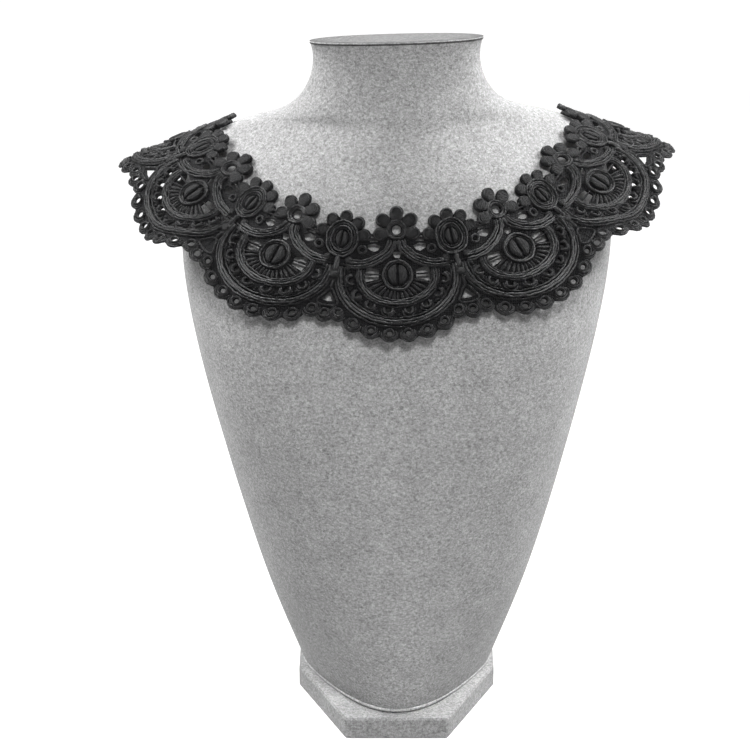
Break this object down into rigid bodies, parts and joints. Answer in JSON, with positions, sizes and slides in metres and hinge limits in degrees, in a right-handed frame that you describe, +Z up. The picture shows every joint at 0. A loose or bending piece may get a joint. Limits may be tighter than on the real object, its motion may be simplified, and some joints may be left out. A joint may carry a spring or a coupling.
{
  "type": "lace collar on display bust",
  "caption": "Scalloped guipure lace collar, open at the back, draped over the shoulders of a limbless cloth-covered display bust on a low base plate.",
  "frame": {"origin": "on the underside of the base plate, below the middle of the collar's front-to-back depth", "axes": "+Z up, -Y to the front of the bust, +X to the wearer's left"},
  "size_m": [0.3112, 0.1978, 0.3822],
  "materials": {
    "collar_lace": "black satin-stitched cotton thread, slightly lustrous",
    "bust_cloth": "mottled grey short-pile felted cloth, matt",
    "base_cloth": "mottled grey short-pile felted cloth, matt"
  },
  "bodies": {
    "root": {"base": "base_cloth", "bust": "bust_cloth", "collar_front": "collar_lace", "collar_left": "collar_lace", "collar_right": "collar_lace"}
  },
  "joints": []
}
